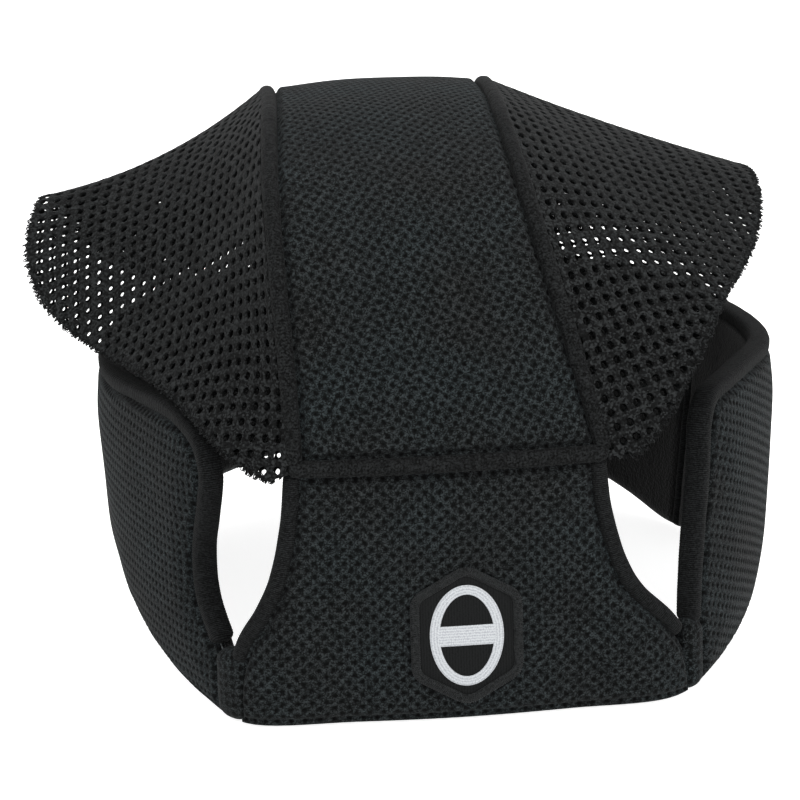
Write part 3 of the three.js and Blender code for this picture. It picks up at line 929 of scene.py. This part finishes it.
class Cloth:
    """A wing's cloth: takes places in the flat cloth to points over the wing."""

    def __init__(self, side_name):
        self.turn = WING_TURN[side_name]
        self.points, self.normal = wing_grid(side_name)
        self.flat = flattened(self.points)
        rows, columns = self.points.shape[:2]
        quads = quads_of(np.arange(rows * columns).reshape(rows, columns))
        self.triangles = np.vstack([quads[:, [0, 1, 2]], quads[:, [0, 2, 3]]])
        lying = np.concatenate([self.flat.reshape(-1, 2), np.zeros((rows * columns, 1))], axis=1)
        self.tree = BVHTree.FromPolygons(lying.tolist(), self.triangles.tolist())

    def place(self, flat, height):
        """Points over the wing at a height over its middle surface, and whether each is on the cloth."""
        body, normal = self.points.reshape(-1, 3), self.normal.reshape(-1, 3)
        corners = self.flat.reshape(-1, 2)
        found = [self.tree.find_nearest((x, y, 0)) for x, y in flat]
        nearest = np.array([f[0][:2] for f in found])
        triangle = self.triangles[[f[2] for f in found]]
        p, q, r = (corners[triangle[:, k]] for k in range(3))
        area = np.cross(q - p, r - p)
        wq = np.cross(nearest - p, r - p) / area
        wr = np.cross(q - p, nearest - p) / area
        weights = np.stack([1 - wq - wr, wq, wr], axis=-1)
        base = (body[triangle] * weights[..., None]).sum(axis=1)
        up = unit((normal[triangle] * weights[..., None]).sum(axis=1))
        inside = np.linalg.norm(nearest - flat, axis=1) < 1e-4
        return base + up * np.asarray(height)[..., None], inside


def lattice_cells(cloth, pitch):
    """Centres of the square cells of a lattice that cover the flat cloth."""
    flat = cloth.flat.reshape(-1, 2)
    columns_and_rows = [
        np.arange(math.floor(c.min() / pitch), math.ceil(c.max() / pitch) + 1)
        for c in turned(flat[:, 0], flat[:, 1], cloth.turn)
    ]
    return np.stack(np.meshgrid(*columns_and_rows), axis=-1).reshape(-1, 2)


LIP = 0.05  # height of the soft lip around a hole
LIP_WIDTH = 1.28  # radius of the lip, as a share of the hole's
MERGE = 240  # corners of two cells are one point when they are the same to 1/MERGE of a cell
HOLE_WANDER = 0.035  # how unevenly a hole's edge lies
SLIVER = 0.002  # twice the area of the smallest face that is kept, in square millimetres


def perforated(name, cloth, pitch, hole, lift, wall, rays, material):
    """Sheet of cloth with a round hole in each cell of its lattice; wall is how deep the hole's side goes."""
    angle = np.linspace(0, 2 * math.pi, rays, endpoint=False)
    direction = pairs(np.cos(angle), np.sin(angle))
    square = direction / np.abs(direction).max(axis=1, keepdims=True) * 0.5
    round_hole = direction * hole
    loops = [(square, 0.0), (round_hole * LIP_WIDTH, LIP), (round_hole, -LIP), (round_hole, wall)]
    cells = lattice_cells(cloth, pitch)
    local = np.concatenate([loop for loop, _ in loops])
    heights = np.concatenate([np.full(rays, rise) for _, rise in loops])
    lattice = (cells[:, None] + local[None]).reshape(-1, 2)
    layer = np.tile(np.repeat([0, 1, 2, 3], rays), len(cells))
    key = np.column_stack([np.round(lattice * MERGE).astype(int), layer])
    _, unique, inverse = np.unique(key, axis=0, return_index=True, return_inverse=True)
    lattice = lattice[unique] * pitch
    rise = np.tile(heights, len(cells))[unique]
    x, y = turned(lattice[:, 0], lattice[:, 1], -cloth.turn)
    wander = rng.normal(0, HOLE_WANDER, (len(x), 2)) * (layer[unique] > 0)[:, None]
    flat = pairs(x, y) + wander
    points, inside = cloth.place(flat, lift + rise + 0.12 * waves(x, y, 2.4, 91))
    quads = quads_of(wrapped(inverse.reshape(len(cells), len(loops), rays)))
    quads = quads[inside[quads].any(axis=1)]
    corner = points[quads]
    area = np.linalg.norm(np.cross(corner[:, 2] - corner[:, 0], corner[:, 3] - corner[:, 1]), axis=1)
    used, packed = np.unique(quads[area > SLIVER], return_inverse=True)
    return new_mesh(name, points[used], [packed.reshape(-1, 4)], material, flat[used])


def spacer_yarns(name, cloth, lift, material):
    """The thin yarns that hold the mesh's two faces apart, between the holes."""
    cells = lattice_cells(cloth, MESH_PITCH)
    middles = (np.repeat(cells, 5, axis=0) + 0.5) * MESH_PITCH
    start = middles + rng.uniform(-0.9, 0.9, middles.shape)
    end = start + rng.normal(0, 0.5, start.shape)
    ends = []
    for spot, height in ((start, lift), (end, -lift)):
        x, y = turned(spot[:, 0], spot[:, 1], -cloth.turn)
        ends.append(cloth.place(pairs(x, y), height))
    keep = ends[0][1] & ends[1][1]
    return fibres(name, ends[0][0][keep], ends[1][0][keep], 0.05, material)


def fibres(name, start, end, radius, material):
    """Three-sided fibres from start to end, as one mesh."""
    axis = unit(end - start)
    side = across(axis)
    other = np.cross(axis, side)
    corners = []
    for spot in (start, end):
        for angle in (0, 2 * math.pi / 3, 4 * math.pi / 3):
            corners.append(spot + radius * (math.cos(angle) * side + math.sin(angle) * other))
    first = np.arange(len(start))[:, None, None] * 6
    quads = first + np.array([[0, 1, 4, 3], [1, 2, 5, 4], [2, 0, 3, 5]])[None]
    caps = first + np.array([[2, 1, 0], [3, 4, 5]])[None]
    fabric = np.tile(np.array([[0, 0], [1, 0], [2, 0], [0, 3], [1, 3], [2, 3]]) * 0.1, (len(start), 1))
    faces = [quads.reshape(-1, 4), caps.reshape(-1, 3)]
    return new_mesh(name, np.stack(corners, axis=1), faces, material, fabric)


LOOP_SPACING = 0.42
TOOTH_PITCH = 1.65


def raw_edge(name, cloth, material):
    """Loose loops of yarn standing out in teeth along a wing's cut edge."""
    line = resampled(cloth.flat[:, -1], LOOP_SPACING)
    count = len(line)
    forward = np.gradient(line, axis=0)
    off_edge = unit(pairs(forward[:, 1], -forward[:, 0]))
    if off_edge[count // 2] @ (line[count // 2] - cloth.flat[:, 0].mean(axis=0)) < 0:
        off_edge = -off_edge
    tooth = 0.5 + 0.5 * np.cos(2 * math.pi * np.arange(count) * LOOP_SPACING / TOOTH_PITCH)
    loops = []
    for height in (WING / 2 - 0.2, 0.25, -WING / 2 + 0.35):
        reach = (0.25 + 0.95 * tooth) * rng.uniform(0.5, 1.3, count)
        base, _ = cloth.place(line - off_edge * 0.5, height)
        deep, _ = cloth.place(line - off_edge * 1.6, height)
        away = unit(base - deep)[:, None]
        along = unit(np.gradient(base, axis=0))[:, None]
        width = rng.uniform(0.15, 0.5, count)
        lean = rng.normal(0, 0.3, count)
        turn = np.linspace(-0.1, 1.1, 8) * math.pi
        out = np.sin(turn)[None] * (reach + 0.5)[:, None]
        aside = -np.cos(turn)[None] * width[:, None] + np.sin(turn)[None] * lean[:, None]
        wander = rng.normal(0, 0.05, (count, len(turn), 3))
        loops.append(base[:, None] + away * out[..., None] + along * aside[..., None] + wander)
    return threads(name, np.concatenate(loops), 0.13, material, around=4)


def make_wing(name):
    node = f"wing_{name}"  # the CAD gives the wing's node and its body this same name
    cloth = Cloth(name)
    lift = WING / 2 - 0.15
    hole = HOLE_R / MESH_PITCH
    face = perforated(f"wing_face_{name}", cloth, MESH_PITCH, hole, lift, -0.5, 16, MESH_FACE)
    back = perforated(f"wing_net_{name}", cloth, MESH_PITCH / 2, 0.36, -lift, 0.3, 8, MESH_BACK)
    yarns = spacer_yarns(f"wing_yarns_{name}", cloth, lift, MESH_BACK)
    fringe = raw_edge(f"wing_raw_edge_{name}", cloth, MESH_FACE)
    for piece in (face, back, yarns, fringe):
        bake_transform(piece)
    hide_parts(node)


# ---- Badge ----

BADGE_MIDDLE = 0.5
BADGE_Z = 20.5


def hexagon(half_width, half_height, shoulder, corner, spacing):
    """Long hexagon with softened corners, as evenly spaced points."""
    corners = np.array([
        [0, -half_height], [half_width, -shoulder], [half_width, shoulder],
        [0, half_height], [-half_width, shoulder], [-half_width, -shoulder],
    ], float)
    points = []
    for k in range(6):
        here, before, after = corners[k], corners[k - 1], corners[(k + 1) % 6]
        to_before, to_after = unit(before - here), unit(after - here)
        for f in np.linspace(0, 1, 7):
            a = here + to_before * corner * (1 - f)
            b = here + to_after * corner * f
            points.append(a * (1 - f) + b * f)
    closed = np.array(points + points[:1])
    return resampled(closed, spacing)[:-1]


def on_nape(x, z, height):
    """Points over the puffed nape pad, from the badge's middle."""
    return lifted(ring, BADGE_MIDDLE + x, BADGE_Z + z, NAPE_PUFF + height)


def round_trip(path):
    """Directions along a closed path."""
    return np.roll(path, -1, axis=0) - np.roll(path, 1, axis=0)


def applied_path(line, height, closed):
    """A line of [x, z] points laid on the badge, with its sideways and outward directions."""
    path = on_nape(line[:, 0], line[:, 1], height)
    up = normals(ring, BADGE_MIDDLE + line[:, 0], BADGE_Z + line[:, 1])
    forward = round_trip(path) if closed else np.gradient(path, axis=0)
    return path, unit(np.cross(forward, up)), up


def badge_patch(outline):
    """Woven ground of the badge: a plate from its middle out to the border."""
    rings = 26
    share = np.linspace(0, 1, rings)[:, None, None]
    spread = (outline[None] * share).reshape(-1, 2)
    top = on_nape(spread[:, 0], spread[:, 1], 0.35)
    foot = on_nape(spread[:, 0], spread[:, 1], -0.4)
    count = len(outline)
    upper = wrapped(np.arange(rings * count).reshape(rings, count))
    other_way = [0, 3, 2, 1]
    face = quads_of(upper)[:, other_way]
    base = face[:, ::-1] + rings * count
    rim = quads_of(np.stack([upper[-1], upper[-1] + rings * count]))[:, other_way]
    points = np.vstack([top, foot])
    piece = new_mesh("badge_woven_ground", points, [face, base, rim], TWILL, np.vstack([spread, spread]))
    add_fixed(piece, "badge_patch")


def badge_border(outline):
    """Overlocked edge: a padded rim with slanting threads wound over it."""
    path, side, up = applied_path(outline, 0.45, closed=True)
    section = superellipse(0.92, 0.5, 2.2, 14)
    core = tube("badge_border_core", path, side, up, section, THREAD, closed=True)
    add_fixed(core, "badge_border")
    arc = (np.linspace(-0.12, 1.12, 9) * math.pi)[None, :, None]
    slant = (np.linspace(-1, 1, arc.size) * 0.3)[None, :, None]
    lines = (path, side, up, unit(round_trip(path)))
    middle, side, up, forward = (line[::3, None] for line in lines)
    wound = middle + np.cos(arc) * side * 0.95 + np.sin(arc) * up * 0.6 + forward * slant
    add_fixed(threads("badge_border_threads", wound, 0.15, THREAD), None)


EMBLEM_HALF_WIDTH = 8.2
EMBLEM_HALF_HEIGHT = 11.6
EMBLEM_LINE = 2.2
EMBLEM_BAR = 4.6


def badge_emblem():
    """Plain oval with a bar across it, woven in white."""
    angle = np.linspace(0, 2 * math.pi, 360, endpoint=False)
    middle_x, middle_z = EMBLEM_HALF_WIDTH - EMBLEM_LINE / 2, EMBLEM_HALF_HEIGHT - EMBLEM_LINE / 2
    oval = pairs(middle_x * np.cos(angle), middle_z * np.sin(angle))
    section = superellipse(EMBLEM_LINE / 2, 0.2, 4, 18)
    piece = tube("badge_oval", *applied_path(oval, 0.42, closed=True), section, WHITE_WEAVE, closed=True)
    add_fixed(piece, "badge_emblem")
    reach = middle_x + EMBLEM_LINE / 4
    bar = pairs(np.linspace(-reach, reach, 60), 0)
    section = superellipse(EMBLEM_BAR / 2, 0.2, 6, 24)
    piece = tube("badge_bar", *applied_path(bar, 0.4, closed=False), section, WHITE_WEAVE)
    add_fixed(piece, None)


def make_badge():
    width, height, shoulder = 12.3, 16.3, 9  # half of the badge's width, height and straight sides
    badge_patch(hexagon(width - 1, height - 1.2, shoulder - 0.3, 2.0, 0.4))
    badge_border(hexagon(width - 0.9, height - 1.1, shoulder - 0.25, 2.2, 0.14))
    badge_emblem()


# ---- Camera, floor and light ----


def make_camera():
    """The photograph's view: from behind, a little above and to the left."""
    azimuth, elevation, roll = math.radians(-6), math.radians(15), math.radians(-1.5)
    distance = 0.775
    focal, aside, below = 3.95375, 0.01725, 0.05675  # as shares of the picture's width
    level = math.cos(elevation)
    back = Vector((math.sin(azimuth) * level, -math.cos(azimuth) * level, math.sin(elevation)))
    aim = Vector((SHIFT[0] / 1000, SHIFT[1] / 1000, 0.0605))
    place = aim + back * distance
    right = (-back).cross(Vector((0, 0, 1))).normalized()
    up = right.cross(-back)
    turned_right = math.cos(roll) * right + math.sin(roll) * up
    turned_up = -math.sin(roll) * right + math.cos(roll) * up
    forward = (-back * focal - turned_right * aside - turned_up * below).normalized()
    right = forward.cross(turned_up).normalized()
    up = right.cross(forward)
    data = bpy.data.cameras.new("camera")
    data.sensor_width = 36
    data.lens = 36 * focal
    camera = bpy.data.objects.new("camera", data)
    camera.matrix_world = Matrix.Translation(place) @ Matrix((right, up, -forward)).transposed().to_4x4()
    bpy.context.collection.objects.link(camera)
    bpy.context.scene.camera = camera


def area_light(name, place, size, power):
    """Square light that faces the liner."""
    data = bpy.data.lights.new(name, "AREA")
    data.shape = "RECTANGLE"
    data.size = data.size_y = size
    data.energy = power
    light = bpy.data.objects.new(name, data)
    light.location = place
    aim = Vector((0, 0, 0.06)) - Vector(place)
    light.rotation_euler = aim.to_track_quat("-Z", "Y").to_euler()
    bpy.context.collection.objects.link(light)


def make_studio():
    """Plain pale floor and soft light: a key from the camera's side, a fill from its right, one overhead."""
    mesh = bpy.data.meshes.new("floor")
    reach = 6.0
    corners = [(-reach, -reach, 0), (reach, -reach, 0), (reach, reach, 0), (-reach, reach, 0)]
    mesh.from_pydata(corners, [], [(0, 1, 2, 3)])
    pale = Nodes("pale_floor")
    settings = {
        "Base Color": (0.5, 0.5, 0.5, 1), "Roughness": 0.9,
        "Emission Color": (1, 1, 1, 1), "Emission Strength": 0.85,
    }
    for key, value in settings.items():
        pale.feed(pale.shader.inputs[key], value)
    mesh.materials.append(pale.material)
    floor = bpy.data.objects.new("floor", mesh)
    floor.location.z = -0.0004
    bpy.context.collection.objects.link(floor)
    world = bpy.data.worlds.new("studio")
    world.use_nodes = True
    background = world.node_tree.nodes["Background"].inputs
    background["Color"].default_value = (1, 1, 1, 1)
    background["Strength"].default_value = 1.0
    bpy.context.scene.world = world
    bpy.context.scene.view_settings.view_transform = "Standard"
    area_light("key", (-0.3, -1.15, 1.1), 0.9, 14)
    area_light("fill", (0.9, -0.9, 0.6), 0.9, 7)
    area_light("top", (0.1, 0.3, 1.4), 1.2, 14)


make_camera()
make_studio()
make_pads()
make_tapes()
make_pipings()
for wing_name in SIDES:
    make_wing(wing_name)
make_badge()
